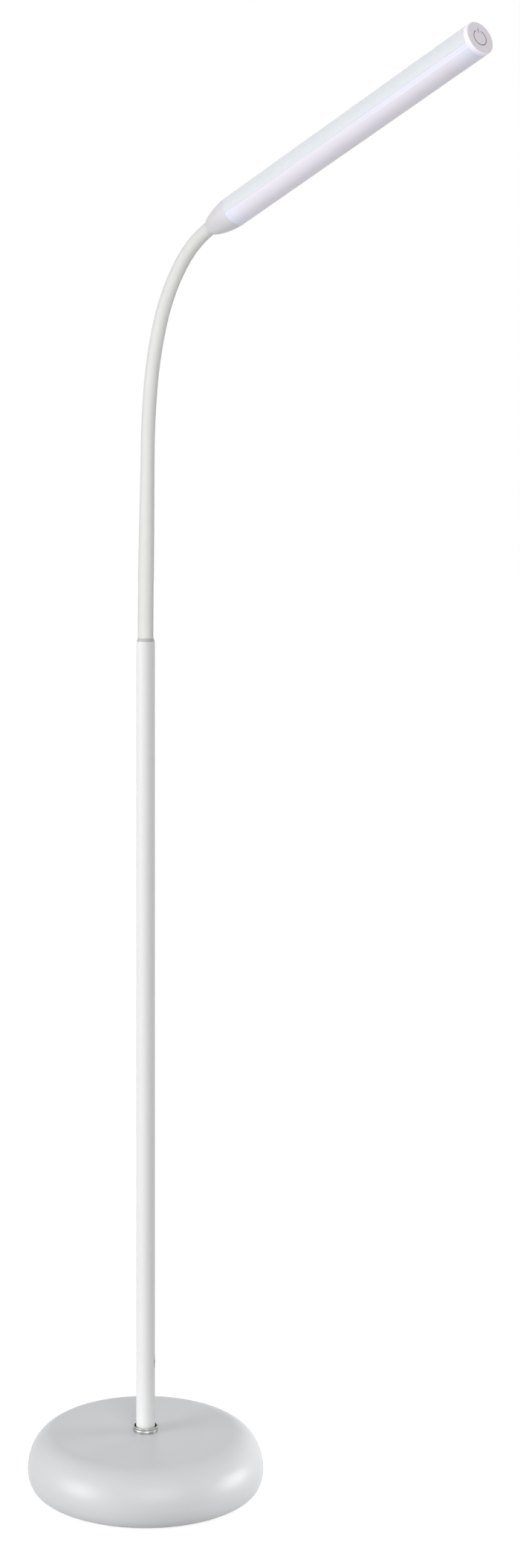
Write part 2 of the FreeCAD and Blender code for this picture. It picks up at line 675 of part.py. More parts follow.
def touch_electrode():
    """Disc that senses the finger through the cap, on a stem from the touch board."""
    disc_start = CAP_FLOOR_START - ELECTRODE_THICKNESS
    stem_start = CAP_FLOOR_START - TOUCH_BOARD_DEPTH + BOARD_THICKNESS
    disc = head_rod(ELECTRODE_RADIUS, disc_start, CAP_FLOOR_START)
    return disc.fuse(head_rod(ELECTRODE_STEM_RADIUS, stem_start, disc_start))


def touch_board():
    """Round board with the touch circuit, inside the cap's spigot."""
    start = CAP_FLOOR_START - TOUCH_BOARD_DEPTH
    return head_rod(SPIGOT_BORE - BOARD_PLAY, start, start + BOARD_THICKNESS)


def touch_leads():
    """Two wires from the driver board to the touch board."""
    height = (DRIVER_BOTTOM + DRIVER_TOP) / 2
    start = DRIVER_START + DRIVER_LENGTH
    end = CAP_FLOOR_START - TOUCH_BOARD_DEPTH
    return Part.makeCompound([head_rod(TOUCH_LEAD_RADIUS, start, end, side * TOUCH_LEAD_SPACING / 2, height)
                              for side in (-1, 1)])


def heat_spreader():
    """Aluminium strip that slides in on the casing's rails."""
    half = math.sqrt(CASING_BORE ** 2 - RAIL_TOP ** 2) - SPREADER_PLAY
    return block(SPREADER_START, SPREADER_END, 2 * half, RAIL_TOP, SPREADER_TOP)


def led_board():
    """Strip board under the spreader, between the rails."""
    width = 2 * (RAIL_INNER - BOARD_PLAY)
    return block(SPREADER_START, SPREADER_END, width, RAIL_TOP - LED_BOARD_THICKNESS, RAIL_TOP)


def led_chips():
    """Row of LEDs on the underside of the strip board."""
    first = SPREADER_START + LED_MARGIN
    pitch = (SPREADER_END - LED_MARGIN - LED_LENGTH - first) / (LED_COUNT - 1)
    high = RAIL_TOP - LED_BOARD_THICKNESS
    chips = []
    for index in range(LED_COUNT):
        start = first + pitch * index
        chips.append(block(start, start + LED_LENGTH, LED_WIDTH, high - LED_HEIGHT, high))
    return Part.makeCompound(chips)


def terminal_block():
    """Terminals where the neck's lead meets the driver board."""
    return block(TERMINAL_START, DRIVER_START, TERMINAL_WIDTH, SPREADER_TOP, SPREADER_TOP + TERMINAL_HEIGHT)


def driver_board():
    """Constant-current driver board above the spreader."""
    return block(DRIVER_START, DRIVER_START + DRIVER_LENGTH, DRIVER_WIDTH, DRIVER_BOTTOM, DRIVER_TOP)


def board_spacers():
    """Four posts between the spreader and the driver board."""
    post = rod(SPACER_RADIUS, SPREADER_TOP, DRIVER_BOTTOM)
    side = DRIVER_WIDTH / 2 - SPACER_INSET
    posts = []
    for place in (DRIVER_START + SPACER_INSET, DRIVER_START + DRIVER_LENGTH - SPACER_INSET):
        for across in (-side, side):
            copy = post.copy()
            copy.translate(V(place, across, 0))
            posts.append(copy)
    return Part.makeCompound(posts)


def driver_parts():
    """Coil, capacitor and control chip standing on the driver board."""
    coil = rod(COIL_RADIUS, DRIVER_TOP, DRIVER_TOP + COIL_HEIGHT)
    coil.translate(V(DRIVER_START + DRIVER_LENGTH * 0.3, 0, 0))
    capacitor = rod(CAPACITOR_RADIUS, DRIVER_TOP, DRIVER_TOP + CAPACITOR_HEIGHT)
    capacitor.translate(V(DRIVER_START + DRIVER_LENGTH * 0.5, 0, 0))
    start = DRIVER_START + DRIVER_LENGTH * 0.7
    chip = block(start, start + CHIP_SIZE, CHIP_SIZE, DRIVER_TOP, DRIVER_TOP + CHIP_HEIGHT)
    return Part.makeCompound([coil, capacitor, chip])


# ---------------------------------------------------------------- all the pieces
FIXED_PIECES = {
    "base_shell": base_shell,
    "base_plate": base_plate,
    "base_ballast": ballast,
    "pole_bolt": pole_bolt,
    "bolt_washer": bolt_washer,
    "bolt_lock_washer": bolt_lock_washer,
    "pole_cup": pole_cup,
    "pole_tube": pole_tube,
    "pole_foot": pole_foot,
    "pole_bush": pole_bush,
    "pole_lead": pole_lead,
    "inlet_bezel": inlet_bezel,
    "inlet_jack": inlet_jack,
    "inlet_pin": inlet_pin,
}
HEAD_PIECES = {
    "head_socket": head_socket,
    "neck_upper_ferrule": upper_ferrule,
    "neck_upper_nut": upper_nut,
    "head_casing": head_casing,
    "head_diffuser": head_diffuser,
    "end_cap": end_cap,
    "touch_plate": touch_plate,
    "touch_electrode": touch_electrode,
    "touch_board": touch_board,
    "touch_leads": touch_leads,
    "heat_spreader": heat_spreader,
    "led_board": led_board,
    "led_chips": led_chips,
    "terminal_block": terminal_block,
    "driver_board": driver_board,
    "board_spacers": board_spacers,
    "driver_parts": driver_parts,
}

os.makedirs("parts", exist_ok=True)
for name, make in FIXED_PIECES.items():
    save(name, make())
for name, make in HEAD_PIECES.items():
    save(name, in_head(make()))
for number in range(len(LINK_TURNS)):
    save("neck_sleeve_%d" % (number + 1), neck_sleeve(number))
    save("neck_hose_%d" % (number + 1), neck_hose(number))
    save("neck_lead_%d" % (number + 1), neck_lead(number))
save("base_pad", rod(PLATE_RADIUS - PLATE_PLAY - PAD_EDGE, 0, PAD_THICKNESS))
save("base_plate_screws", Part.makeCompound(
    around(countersunk_screw(), PLATE_SCREWS, SCREW_RING, screw_places())))
save("neck_lower_ferrule", ferrule(NECK_START))
save("neck_lower_nut", ferrule_nut(POLE_TOP - BUSH_SEAT))

for number, station in enumerate(STATIONS):
    point = station_point(station)
    way = station_way(station)
    print("station", number, [round(c, 4) for c in point], [round(c, 5) for c in way])
print("bend axis", [round(c, 5) for c in BEND_AXIS])
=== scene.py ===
import json
import math

import bmesh
import bpy
from mathutils import Matrix, Vector


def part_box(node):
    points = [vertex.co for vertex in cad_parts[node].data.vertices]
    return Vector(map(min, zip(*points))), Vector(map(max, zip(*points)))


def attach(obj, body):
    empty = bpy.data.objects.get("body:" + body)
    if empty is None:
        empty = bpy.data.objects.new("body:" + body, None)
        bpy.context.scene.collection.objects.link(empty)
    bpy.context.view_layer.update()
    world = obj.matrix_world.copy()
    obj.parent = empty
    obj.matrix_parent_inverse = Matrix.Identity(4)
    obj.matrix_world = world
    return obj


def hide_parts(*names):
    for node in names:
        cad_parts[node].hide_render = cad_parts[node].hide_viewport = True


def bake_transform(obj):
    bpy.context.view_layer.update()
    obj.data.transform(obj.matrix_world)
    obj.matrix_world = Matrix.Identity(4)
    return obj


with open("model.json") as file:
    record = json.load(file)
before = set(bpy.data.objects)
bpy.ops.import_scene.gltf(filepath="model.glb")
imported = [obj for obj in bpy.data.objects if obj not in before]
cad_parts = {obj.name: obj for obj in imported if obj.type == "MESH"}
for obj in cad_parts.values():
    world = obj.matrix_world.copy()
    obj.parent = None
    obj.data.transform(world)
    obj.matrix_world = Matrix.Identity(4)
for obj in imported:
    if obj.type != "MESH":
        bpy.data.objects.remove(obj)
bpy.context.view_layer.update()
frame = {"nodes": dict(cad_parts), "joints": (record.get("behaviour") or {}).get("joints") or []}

# ------------------------------------------------------------------ camera
# A level camera stands 2.4 m in front of the pole.  The frame is upright and cropped off the
# lens axis, so the lens is shifted by that much and upright lines stay upright.
CAMERA_DISTANCE = 2.4
CAMERA_HEIGHT = 0.976
FRAME_WIDE = 700
FRAME_TALL = 2110
FOCAL_LENGTH_PIXELS = 3221
LENS_AXIS_PIXEL = (196, 686)
SENSOR_LONG_SIDE = 36.0

camera = bpy.data.objects.new("camera", bpy.data.cameras.new("camera"))
bpy.context.scene.collection.objects.link(camera)
camera.location = (0, -CAMERA_DISTANCE, CAMERA_HEIGHT)
camera.rotation_euler = (math.radians(90), 0, 0)
camera.data.sensor_width = SENSOR_LONG_SIDE
camera.data.lens = SENSOR_LONG_SIDE * FOCAL_LENGTH_PIXELS / FRAME_TALL
camera.data.shift_x = (FRAME_WIDE / 2 - LENS_AXIS_PIXEL[0]) / FRAME_TALL
camera.data.shift_y = (LENS_AXIS_PIXEL[1] - FRAME_TALL / 2) / FRAME_TALL
bpy.context.scene.camera = camera
bpy.context.scene.view_settings.view_transform = "Standard"

# ------------------------------------------------------------------ floor and surround
# A pale matte floor runs out to a white surround.  What the camera and the gloss see is white,
# and the floor still darkens where the lamp keeps the light off it.
FLOOR_SIZE = 60.0
FLOOR_COLOUR = (0.45, 0.45, 0.45)
FLOOR_SEEN_SHARE = 0.42          # part of the floor's seen brightness that shadows can take away
FLOOR_SEEN_GLOW = 0.81
SURROUND_GLOW = 0.376


class Wire:
    """An output socket of a node.  Sums written on it add the Math nodes they need."""

    def __init__(self, tree, socket=None):
        self.tree = tree
        self.socket = socket

    def node(self, kind, settings=None, values=None, output=None):
        """Add a node: its settings first, then the value or the wire of each socket."""
        made = self.tree.nodes.new(kind)
        for name, setting in (settings or {}).items():
            setattr(made, name, setting)
        inputs = {socket.identifier: socket for socket in made.inputs}
        for name, value in (values or {}).items():
            if isinstance(value, Wire):
                self.tree.links.new(value.socket, inputs[name])
            else:
                inputs[name].default_value = value
        outputs = {socket.identifier: socket for socket in made.outputs}
        return Wire(self.tree, outputs[output] if output else next(iter(outputs.values()), None))

    def sum(self, operation, first, second):
        return self.node("ShaderNodeMath", {"operation": operation}, {"Value": first, "Value_001": second})

    def __add__(self, other):
        return self.sum("ADD", self, other)

    def __sub__(self, other):
        return self.sum("SUBTRACT", self, other)

    def __rsub__(self, other):
        return self.sum("SUBTRACT", other, self)

    def __mul__(self, other):
        return self.sum("MULTIPLY", self, other)

    __radd__ = __add__
    __rmul__ = __mul__


def seen_rays(wire):
    """1 for the rays of the camera, of gloss and of glass, and 0 for the light that spreads."""
    rays = [wire.node("ShaderNodeLightPath", output=kind)
            for kind in ("Is Camera Ray", "Is Glossy Ray", "Is Transmission Ray")]
    return wire.sum("MAXIMUM", wire.sum("MAXIMUM", rays[0], rays[1]), rays[2])


def paint_floor():
    """Floor material: plain matte for the light, near white with soft shadows where it is seen."""
    made = bpy.data.materials.new("pale_floor")
    made.use_nodes = True
    made.node_tree.nodes.clear()
    wire = Wire(made.node_tree)
    plain = wire.node("ShaderNodeBsdfDiffuse", None, {"Color": (*FLOOR_COLOUR, 1)})
    shaded = wire.node("ShaderNodeBsdfDiffuse", None, {"Color": (*[FLOOR_SEEN_SHARE] * 3, 1)})
    glow = wire.node("ShaderNodeEmission", None, {"Strength": FLOOR_SEEN_GLOW})
    seen = wire.node("ShaderNodeAddShader", None, {"Shader": shaded, "Shader_001": glow})
    mixed = wire.node("ShaderNodeMixShader", None,
                      {"Fac": seen_rays(wire), "Shader": plain, "Shader_001": seen})
    wire.node("ShaderNodeOutputMaterial", None, {"Surface": mixed})
    return made


floor_mesh = bpy.data.meshes.new("floor")
half = FLOOR_SIZE / 2
floor_mesh.from_pydata([(-half, -half, 0), (half, -half, 0), (half, half, 0), (-half, half, 0)],
                       [], [(0, 1, 2, 3)])
floor_mesh.materials.append(paint_floor())
floor = bpy.data.objects.new("floor", floor_mesh)
bpy.context.scene.collection.objects.link(floor)

surround = bpy.data.worlds.new("surround")
surround.use_nodes = True
surround.node_tree.nodes.clear()
world_wire = Wire(surround.node_tree)
white = seen_rays(world_wire)
world_light = world_wire.node("ShaderNodeBackground", None,
                              {"Color": (1, 1, 1, 1), "Strength": white + (1 - white) * SURROUND_GLOW})
world_wire.node("ShaderNodeOutputWorld", None, {"Surface": world_light})
bpy.context.scene.world = surround


# ------------------------------------------------------------------ base cover
# One moulded cover with a satin, finely grained face, in cool white.  It snaps over the weight
# and is screwed up from below.  Its foot is painted darker in patches, as painted shade near the floor, and
# is rougher there.
COVER_WHITE = (0.663, 0.671, 0.690)
COVER_DEEP = (0.645, 0.653, 0.671)
COVER_FOOT_SHADE = (0.55, 0.55, 0.56)
COVER_GRAIN = 0.0006
COVER_CLOUD = 0.05
SCUFF_AND_SHADE_FADE = (0.002, 0.007)      # heights between which the painted shade and the rougher patches fade out


def finish(name, paint, **fixed):
    """A material: the sockets that `paint` wires up, and fixed values on the rest."""
    made = bpy.data.materials.new(name)
    made.use_nodes = True
    made.node_tree.nodes.clear()
    wire = Wire(made.node_tree)
    values = {socket.replace("_", " "): value for socket, value in fixed.items()}
    shader = wire.node("ShaderNodeBsdfPrincipled", None, {**values, **paint(wire)})
    wire.node("ShaderNodeOutputMaterial", None, {"Surface": shader})
    return made


def here(wire):
    """Place on the object, in metres."""
    return wire.node("ShaderNodeTexCoord", output="Object")


def speckle(wire, size, detail=2.0, where=None):
    """Soft random pattern from 0 to 1, its blobs about `size` across."""
    return wire.node("ShaderNodeTexNoise", None,
                     {"Vector": where or here(wire), "Scale": 1 / size, "Detail": detail})


def step(wire, value, low, high):
    """0 below `low`, 1 above `high`, eased between them."""
    return wire.node("ShaderNodeMapRange", {"interpolation_type": "SMOOTHSTEP"},
                     {"Value": value, "From Min": low, "From Max": high})


def tint(wire, share, first, second):
    """Colour between two colours or wires."""
    ends = [end if isinstance(end, Wire) else (*end, 1) for end in (first, second)]
    return wire.node("ShaderNodeMix", {"data_type": "RGBA"},
                     {"Factor_Float": share, "A_Color": ends[0], "B_Color": ends[1]}, "Result_Color")


def relief(wire, height, depth):
    """Surface normal over a pattern that stands `depth` high."""
    return wire.node("ShaderNodeBump", None, {"Height": height, "Distance": depth, "Strength": 1.0})


def axis_place(wire, letter, where=None):
    """One coordinate of the place on the object."""
    return wire.node("ShaderNodeSeparateXYZ", None, {"Vector": where or here(wire)}, letter)


def wear(nodes, material):
    """Give CAD nodes, or new pieces, a material."""
    for piece in nodes:
        part = frame["nodes"][piece] if isinstance(piece, str) else piece
        part.data.materials.clear()
        part.data.materials.append(material)


def paint_cover(wire):
    cloud = speckle(wire, COVER_CLOUD, 3.0)
    grain = speckle(wire, COVER_GRAIN, 4.0)
    # the foot is painted darker in patches: painted shade near the floor; the same patches are rougher
    low = 1 - step(wire, axis_place(wire, "Z"), *SCUFF_AND_SHADE_FADE)
    foot_scuff_and_shade = low * step(wire, speckle(wire, 0.009, 6.0), 0.50, 0.68) * 0.45
    clean = tint(wire, cloud, COVER_WHITE, COVER_DEEP)
    return {
        "Base Color": tint(wire, foot_scuff_and_shade, clean, COVER_FOOT_SHADE),
        "Roughness": 0.34 + cloud * 0.06 + foot_scuff_and_shade * 0.3,
        "Normal": relief(wire, grain, 0.00003),
    }


wear(["base_shell"], finish("base_cover", paint_cover, Specular_IOR_Level=0.5))


# ------------------------------------------------------------------ base, underneath and inside
# A soft foam disc keeps the floor clean, glued on a zinc sheet held by countersunk screws.
# Inside, a rough cast weight is clamped to the pole's foot by one bolt with two washers.
FOAM_DARK = (0.045, 0.045, 0.048)
FOAM_PALE = (0.085, 0.085, 0.09)
ZINC_PALE = (0.66, 0.67, 0.69)
ZINC_DARK = (0.50, 0.51, 0.54)
CAST_DARK = (0.09, 0.088, 0.085)
CAST_RUST = (0.17, 0.105, 0.07)
SCREW_PALE = (0.72, 0.70, 0.62)
SCREW_DARK = (0.50, 0.49, 0.44)
GLOSS_SPREAD = 0.15              # how far the roughness of plain parts varies


def mottled(first, second, size, roughness, depth):
    """Painter for small or hidden parts: two colours in patches, uneven gloss and a fine relief."""
    def paint(wire):
        patch = speckle(wire, size, 4.0)
        return {
            "Base Color": tint(wire, step(wire, patch, 0.35, 0.65), first, second),
            "Roughness": roughness + (patch - 0.5) * GLOSS_SPREAD,
            "Normal": relief(wire, speckle(wire, size / 6, 5.0), depth),
        }
    return paint


def paint_foam(wire):
    cells = wire.node("ShaderNodeTexVoronoi", None, {"Vector": here(wire), "Scale": 1100.0}, "Distance")
    patch = speckle(wire, 0.02, 3.0)
    return {
        "Base Color": tint(wire, cells * 0.7 + patch * 0.3, FOAM_DARK, FOAM_PALE),
        "Roughness": 0.9 + patch * 0.08,
        "Normal": relief(wire, cells, 0.0002),
    }


def paint_zinc(wire):
    flake = wire.node("ShaderNodeTexVoronoi", None, {"Vector": here(wire), "Scale": 160.0}, "Color")
    shade = axis_place(wire, "X", flake)
    return {
        "Base Color": tint(wire, shade, ZINC_DARK, ZINC_PALE),
        "Roughness": 0.30 + shade * 0.22,
        "Normal": relief(wire, speckle(wire, 0.002, 3.0), 0.00001),
    }


wear(["base_pad"], finish("foam", paint_foam))
wear(["base_plate"], finish("zinc_sheet", paint_zinc, Metallic=1.0))
wear(["base_ballast"], finish("cast_iron", mottled(CAST_DARK, CAST_RUST, 0.006, 0.78, 0.0003)))
wear(["base_plate_screws", "pole_bolt", "bolt_washer", "bolt_lock_washer", "pole_foot",
      "neck_lower_ferrule", "neck_lower_nut", "neck_upper_ferrule", "neck_upper_nut"],
     finish("zinc_fixings", mottled(SCREW_PALE, SCREW_DARK, 0.002, 0.34, 0.00002), Metallic=1.0))


# ------------------------------------------------------------------ chrome cup
# A pressed cup of chromed steel stands on the base round the pole's foot.  Its rim is turned
# over round, its wall is polished along its turning, and its inside is painted dark and dull: painted shade
# in the hollow, which is also dusty.
CUP_RADIUS = 0.0123
CUP_BORE = 0.00955
CUP_WALL = 0.0010
CUP_HEIGHT = 0.0055
CUP_BEAD = 0.00025
CUP_CHROME = (0.50, 0.50, 0.49)
CUP_STAIN = (0.30, 0.295, 0.28)
CUP_INNER_SHADE = (0.070, 0.069, 0.065)
INNER_SHADE_RADIUS = (0.0114, 0.0119)   # the painted shade inside fades out between these radii
INNER_SHADE_HEIGHT = (0.0034, 0.0054)   # and between these heights over the base
LATHE_SIDES = 128


def new_piece(name, points, faces, place=None):
    """A smooth mesh object from points and faces, its normals turned outwards."""
    mesh = bpy.data.meshes.new(name)
    mesh.from_pydata(points, [], faces)
    mesh.transform(place or Matrix())
    work = bmesh.new()
    work.from_mesh(mesh)
    bmesh.ops.recalc_face_normals(work, faces=work.faces)
    work.to_mesh(mesh)
    work.free()
    mesh.shade_smooth()
    piece = bpy.data.objects.new(name, mesh)
    bpy.context.scene.collection.objects.link(piece)
    piece.modifiers.new("even_shading", "WEIGHTED_NORMAL")
    return piece


def eased(corners, steps=5):
    """Closed outline through (across, along, rounding) corners, each rounding a small curve."""
    points = []
    for index, (across, along, size) in enumerate(corners):
        corner = Vector((across, along))
        if not size:
            points.append(corner)
            continue
        before = Vector(corners[index - 1][:2]) - corner
        after = Vector(corners[(index + 1) % len(corners)][:2]) - corner
        start = corner + before.normalized() * size
        end = corner + after.normalized() * size
        for share in [count / steps for count in range(steps + 1)]:
            points.append(start * (1 - share) ** 2 + corner * 2 * share * (1 - share) + end * share ** 2)
    return points


def turned(name, outline, place, sides=LATHE_SIDES):
    """Solid of revolution of a closed outline of (radius, distance), turned about local Z."""
    points = []
    rows = []
    for radius, along in outline:
        count = sides if radius > 1e-6 else 1
        rows.append([len(points) + index for index in range(count)])
        for index in range(count):
            angle = 2 * math.pi * index / sides
            points.append((radius * math.cos(angle), radius * math.sin(angle), along))
    faces = []
    for first, second in zip(rows, rows[1:] + rows[:1]):
        for index in range(sides):
            ring = [first[index % len(first)], first[(index + 1) % len(first)],
                    second[(index + 1) % len(second)], second[index % len(second)]]
            face = list(dict.fromkeys(ring))
            if len(face) > 2:
                faces.append(face)
    return new_piece(name, points, faces, place)


base_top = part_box("pole_cup")[0].z


def paint_cup(wire):
    where = here(wire)
    stretched = wire.node("ShaderNodeMapping", None, {"Vector": where, "Scale": (1, 1, 9)})
    polish = speckle(wire, 0.0011, 3.0, stretched)
    stain = step(wire, speckle(wire, 0.0028, 4.0), 0.46, 0.66)
    flat = wire.node("ShaderNodeMapping", None, {"Vector": where, "Scale": (1, 1, 0)})
    radius = wire.node("ShaderNodeVectorMath", {"operation": "LENGTH"}, {"Vector": flat}, "Value")
    height = axis_place(wire, "Z") - base_top
    # inside wall and floor painted dark and not metallic: painted shade in the hollow, partly dusty
    inner_shade_and_dust = (1 - step(wire, radius, *INNER_SHADE_RADIUS)) * (1 - step(wire, height, *INNER_SHADE_HEIGHT))
    bright = tint(wire, stain * 0.8, CUP_CHROME, CUP_STAIN)
    return {
        "Base Color": tint(wire, inner_shade_and_dust, bright, CUP_INNER_SHADE),
        "Metallic": 1 - inner_shade_and_dust,
        "Roughness": 0.24 + polish * 0.14 + stain * 0.12 + inner_shade_and_dust * 0.4,
        "Normal": relief(wire, polish + stain * 0.6, 0.00004),
    }


cup_outline = eased([
    (CUP_BORE, 0, 0),
    (CUP_RADIUS, 0, 0.0003),
    (CUP_RADIUS, CUP_HEIGHT - 3 * CUP_WALL, 0.0002),
    (CUP_RADIUS - CUP_BEAD, CUP_HEIGHT - 2.4 * CUP_WALL, 0.0002),
    (CUP_RADIUS - CUP_BEAD, CUP_HEIGHT - 1.8 * CUP_WALL, 0.0002),
    (CUP_RADIUS, CUP_HEIGHT - 1.2 * CUP_WALL, 0.0002),
    (CUP_RADIUS, CUP_HEIGHT, 0.00045),
    (CUP_RADIUS - CUP_WALL, CUP_HEIGHT, 0.00045),
    (CUP_RADIUS - CUP_WALL, CUP_WALL, 0.0005),
    (CUP_BORE, CUP_WALL, 0),
])
cup = turned("cup", cup_outline, Matrix.Translation((0, 0, base_top)))
wear([cup], finish("cup_chrome", paint_cup))
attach(cup, "root")
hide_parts("pole_cup")


# ------------------------------------------------------------------ pole
# A straight steel tube in glossy white powder coat, which shows a faint orange-peel ripple.
# The threaded foot draws it down on the weight, and the lead runs up inside.
POLE_WHITE = (0.860, 0.862, 0.862)
POLE_WARM = (0.845, 0.845, 0.838)
PEEL_SIZE = 0.0016
LEAD_WHITE = (0.62, 0.62, 0.60)
LEAD_GREY = (0.54, 0.54, 0.53)


def paint_pole(wire):
    peel = speckle(wire, PEEL_SIZE, 1.0)
    cloud = speckle(wire, 0.06, 3.0)
    rub = step(wire, speckle(wire, 0.004, 6.0), 0.60, 0.78)
    return {
        "Base Color": tint(wire, cloud, POLE_WHITE, POLE_WARM),
        "Roughness": 0.34 + cloud * 0.06 + rub * 0.06,
        "Normal": relief(wire, peel, 0.000012),
    }


wear(["pole_tube"], finish("pole_lacquer", paint_pole, Specular_IOR_Level=0.35))
wear(["pole_lead"] + ["neck_lead_%d" % number for number in range(1, 8)],
     finish("wire_skin", mottled(LEAD_WHITE, LEAD_GREY, 0.004, 0.5, 0.00003)))


# ------------------------------------------------------------------ power inlet
# A moulded oval surround lies flush in the pole's side and holds a barrel jack, with a nickelled
# spring sleeve and pin.  Its plastic is a light grey with a fine grain.
INLET_GREY = (0.50, 0.50, 0.50)
INLET_DEEP = (0.46, 0.46, 0.455)
JACK_BLACK = (0.030, 0.030, 0.032)
JACK_GREY = (0.055, 0.055, 0.058)
PIN_BRIGHT = (0.78, 0.74, 0.64)
PIN_DULL = (0.62, 0.58, 0.50)

wear(["inlet_bezel"],
     finish("inlet_plastic", mottled(INLET_GREY, INLET_DEEP, 0.004, 0.46, 0.00003)))
wear(["inlet_jack"],
     finish("jack_plastic", mottled(JACK_BLACK, JACK_GREY, 0.003, 0.42, 0.00003)))
wear(["inlet_pin"],
     finish("contact_metal", mottled(PIN_BRIGHT, PIN_DULL, 0.001, 0.22, 0.00001), Metallic=1.0))


# ------------------------------------------------------------------ bush between pole and neck
# A turned bush of grey acetal, pressed in the pole's top.  A short cone leads up to the neck's
# sleeve, whose foot is pushed on over the bush's collar.
BUSH_BORE = 0.00655
BUSH_SEAT_RADIUS = 0.00845
BUSH_WIDE = 0.0092
BUSH_NARROW = 0.0081
BUSH_CONE = 0.0034
BUSH_COLLAR = 0.0066
BUSH_RISE = 0.006
BUSH_EDGE = 0.0006
BUSH_DRAFT = 0.0001
BUSH_GREY = (0.520, 0.520, 0.525)
BUSH_DEEP = (0.480, 0.480, 0.485)


def paint_bush(wire):
    marks = wire.node("ShaderNodeTexWave", {"bands_direction": "Z"},
                      {"Vector": here(wire), "Scale": 900.0, "Distortion": 2.0, "Detail": 2.0})
    patch = speckle(wire, 0.005, 3.0)
    return {
        "Base Color": tint(wire, patch, BUSH_GREY, BUSH_DEEP),
        "Roughness": 0.42 + patch * 0.10,
        "Normal": relief(wire, marks, 0.00001),
    }


bush_low, bush_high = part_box("pole_bush")
pole_top = bush_high.z - BUSH_RISE
bush_outline = eased([
    (BUSH_BORE, bush_low.z - pole_top, 0.0002),
    (BUSH_SEAT_RADIUS, bush_low.z - pole_top, 0.0004),
    (BUSH_SEAT_RADIUS, 0, 0),
    (BUSH_WIDE, 0, 0.0002),
    (BUSH_WIDE - BUSH_DRAFT, BUSH_EDGE, 0.0003),
    (BUSH_NARROW, BUSH_CONE, 0.0002),
    (BUSH_COLLAR, BUSH_CONE, 0),
    (BUSH_COLLAR, BUSH_RISE, 0),
    (BUSH_BORE, BUSH_RISE, 0),
])
bush = turned("bush", bush_outline, Matrix.Translation((0, 0, pole_top)))
wear([bush], finish("bush_plastic", paint_bush))
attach(bush, "root")
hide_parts("pole_bush")


# ------------------------------------------------------------------ neck
# A wound steel hose bends and stays put.  A soft moulded sleeve in warm white covers it from
# the bush to the head, thicker at its foot.  Both are built curving in one run through the six joints'
# pivots.
SLEEVE_FOOT_RADIUS = 0.0079
SLEEVE_RADIUS = 0.00695
SLEEVE_BORE = 0.0056
HOSE_RADIUS = 0.0054
HOSE_BORE = 0.0032
TAPER_FROM = 0.075
TAPER_TO = 0.175
HOSE_PITCH = 0.0022
HOSE_GROOVE = 0.0004
BEND_REACH = 0.024               # each side of a joint
RING_STEP = 0.0026
SLEEVE_SIDES = 48
HOSE_SIDES = 24
SLEEVE_FOOT = BUSH_RISE - BUSH_CONE
SLEEVE_ENTRY = 0.006             # sleeve's end inside the socket
FERRULE_DEPTH = 0.017
SLEEVE_WHITE = (0.655, 0.655, 0.642)
SLEEVE_DEEP = (0.635, 0.635, 0.622)
HOSE_PALE = (0.60, 0.60, 0.60)
HOSE_DARK = (0.42, 0.42, 0.43)


def middle_of(node):
    low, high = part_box(node)
    return (low + high) / 2


NECK_JOINTS = frame["joints"]
HEAD_LENGTH = 0.380
TOUCH_PLATE_THICKNESS = 0.0012
head_along = (middle_of("touch_plate") - middle_of("neck_upper_nut")).normalized()
head_start = middle_of("touch_plate") - head_along * (HEAD_LENGTH - TOUCH_PLATE_THICKNESS / 2)
pivots = [Vector((0, 0, bush_high.z))] + [Vector(joint["pos_m"]) for joint in NECK_JOINTS] + [head_start]


def neck_arcs():
    """Each length between pivots as (start, direction, turning axis, turn, length): arcs in one run."""
    arcs = []
    way = Vector((0, 0, 1))
    for start, end in zip(pivots, pivots[1:]):
        chord = end - start
        half_turn = way.angle(chord)
        axis = way.cross(chord).normalized() if half_turn > 1e-4 else Vector((1, 0, 0))
        length = chord.length * (half_turn / math.sin(half_turn) if half_turn > 1e-4 else 1.0)
        arcs.append((start, way, axis, 2 * half_turn, length))
        way = Matrix.Rotation(2 * half_turn, 3, axis) @ way
    return arcs


NECK_ARCS = neck_arcs()
LINK_LENGTH = NECK_ARCS[0][4]
NECK_LENGTH = LINK_LENGTH * len(NECK_ARCS)


def neck_place(distance):
    """Point and direction on the neck's middle line, which runs straight on past both ends."""
    index = min(max(int(distance / LINK_LENGTH), 0), len(NECK_ARCS) - 1)
    start, way, axis, turn, length = NECK_ARCS[index]
    run = distance - LINK_LENGTH * index
    on_arc = min(max(run, 0.0), length)
    half_turn = turn * on_arc / length / 2
    chord = on_arc * (math.sin(half_turn) / half_turn if half_turn > 1e-5 else 1.0)
    point = start + Matrix.Rotation(half_turn, 3, axis) @ way * chord
    heading = Matrix.Rotation(2 * half_turn, 3, axis) @ way
    return point + heading * (run - on_arc), heading


def sleeve_radius(distance):
    share = min(max((distance - TAPER_FROM) / (TAPER_TO - TAPER_FROM), 0), 1)
    return SLEEVE_FOOT_RADIUS + (SLEEVE_RADIUS - SLEEVE_FOOT_RADIUS) * share


def groove(distance):
    """Depth of the hose's winding at a distance along it."""
    return HOSE_GROOVE * (0.5 + 0.5 * math.cos(2 * math.pi * distance / HOSE_PITCH))


